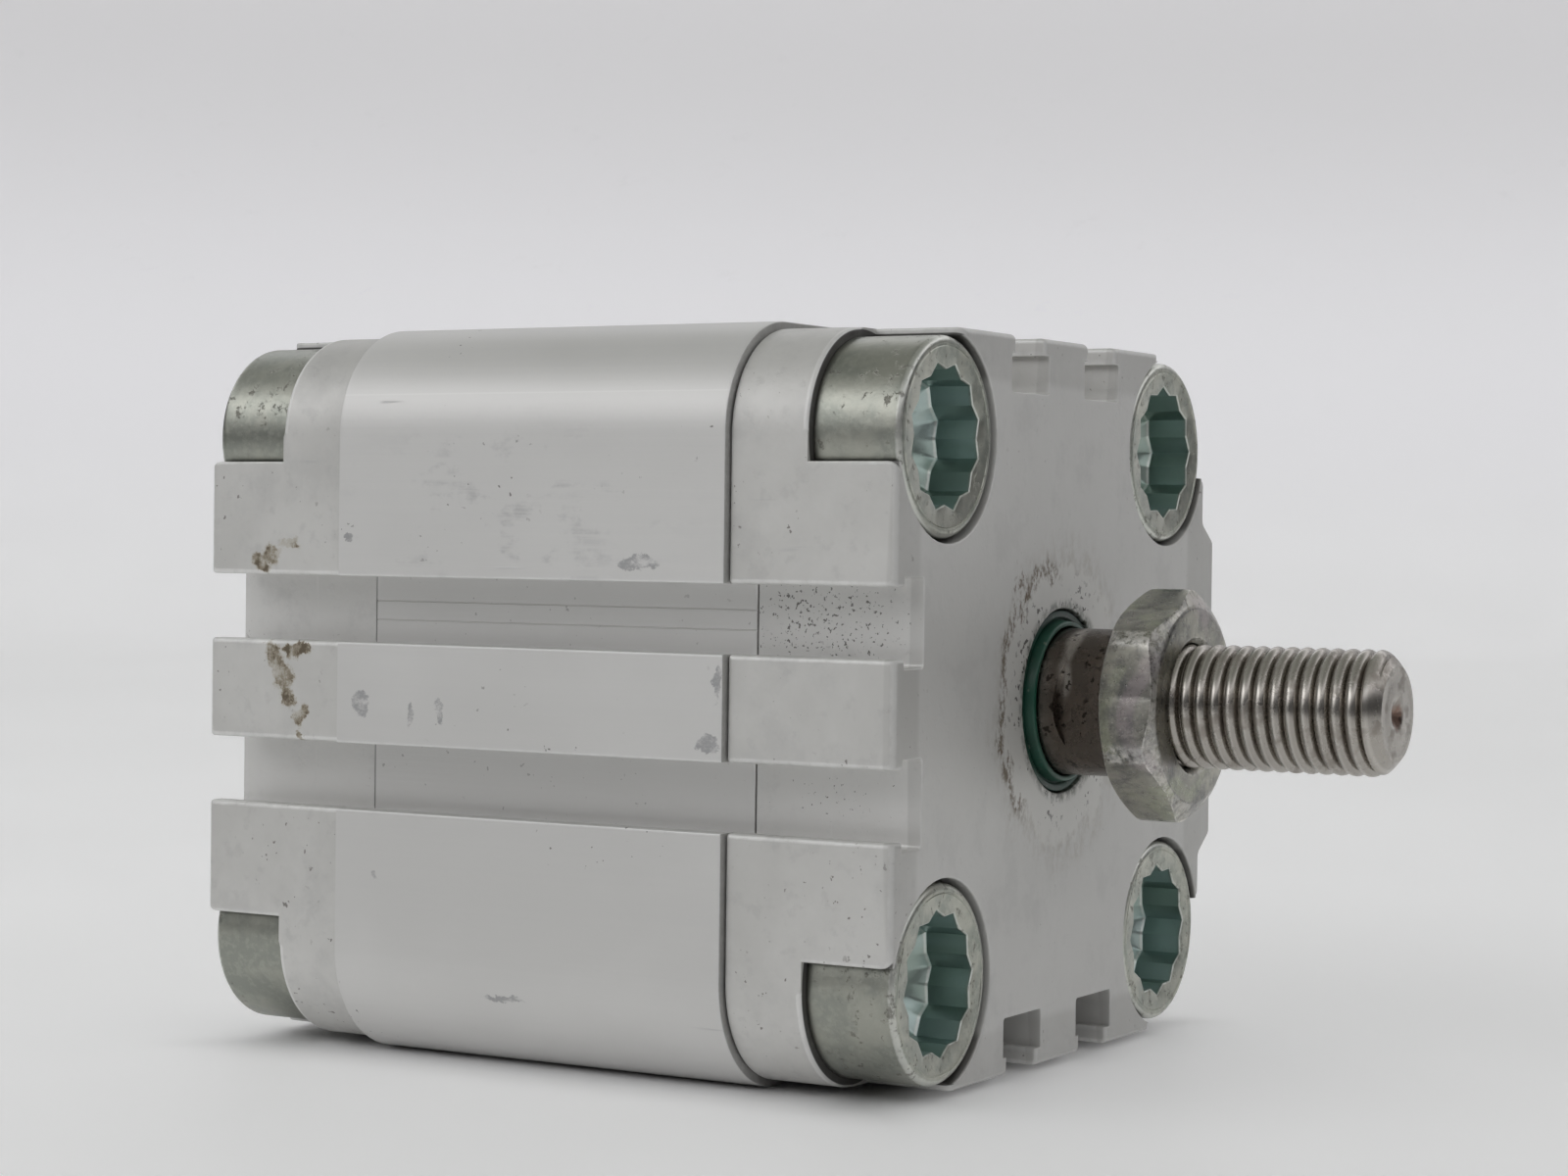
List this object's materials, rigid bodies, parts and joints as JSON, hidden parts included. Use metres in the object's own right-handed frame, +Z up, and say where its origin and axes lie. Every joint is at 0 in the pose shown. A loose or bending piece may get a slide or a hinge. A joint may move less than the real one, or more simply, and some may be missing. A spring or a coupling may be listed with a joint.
{
  "type": "pneumatic cylinder",
  "caption": "Compact double-acting pneumatic cylinder, square slotted body, hollow corner screws, male-threaded rod with lock nut.",
  "frame": {"origin": "centre of the rear cap's outer face, on the rod's axis", "axes": "+X along the rod, out of the cylinder; +Y towards the side with the air ports; +Z up as it stands"},
  "size_m": [0.0941, 0.0622, 0.0604],
  "materials": {
    "anodised_aluminium": "satin, clear anodised, fine drawn lines along X",
    "tumbled_aluminium": "tumbled and anodised casting, softly mottled, rounded edges",
    "zinc_plated_steel": "zinc plated, greenish, lightly corroded",
    "passivated_zinc_nut": "zinc plated, yellow-green passivation, worn corners",
    "stainless_steel": "ground and rolled, semi-gloss",
    "green_polyurethane": "smooth, slightly glossy",
    "sintered_bronze": "matt, oil filled",
    "black_rubber": "matt",
    "bonded_magnet": "matt",
    "white_acetal": "satin"
  },
  "bodies": {
    "housing": {"barrel": "anodised_aluminium", "front_cap": "tumbled_aluminium", "rear_cap": "tumbled_aluminium", "rod_wiper_seal": "green_polyurethane", "rod_bush": "sintered_bronze", "front_cap_seal": "black_rubber", "rear_cap_seal": "black_rubber", "front_cushion_pad": "black_rubber", "rear_cushion_pad": "black_rubber", "front_screw_lower_left": "zinc_plated_steel", "front_screw_lower_right": "zinc_plated_steel", "front_screw_upper_right": "zinc_plated_steel", "front_screw_upper_left": "zinc_plated_steel", "rear_screw_lower_left": "zinc_plated_steel", "rear_screw_lower_right": "zinc_plated_steel", "rear_screw_upper_right": "zinc_plated_steel", "rear_screw_upper_left": "zinc_plated_steel"},
    "piston_rings": {"piston_front_seal": "black_rubber", "piston_rear_seal": "black_rubber", "piston_magnet": "bonded_magnet", "piston_guide_ring": "white_acetal"},
    "rod_assembly": {"piston_rod": "stainless_steel", "lock_nut": "passivated_zinc_nut", "piston_front_half": "tumbled_aluminium", "piston_rear_half": "tumbled_aluminium", "piston_screw": "zinc_plated_steel"}
  },
  "joints": [
    {"name": "rod_slide", "type": "slide", "parent": "housing", "child": "piston_rings", "axis": [1, 0, 0], "range_m": [0, 0.02]},
    {"name": "rod_spin", "type": "hinge", "parent": "piston_rings", "child": "rod_assembly", "pos_m": [0.0721, 0, 0], "axis": [1, 0, 0], "continuous": true}
  ]
}
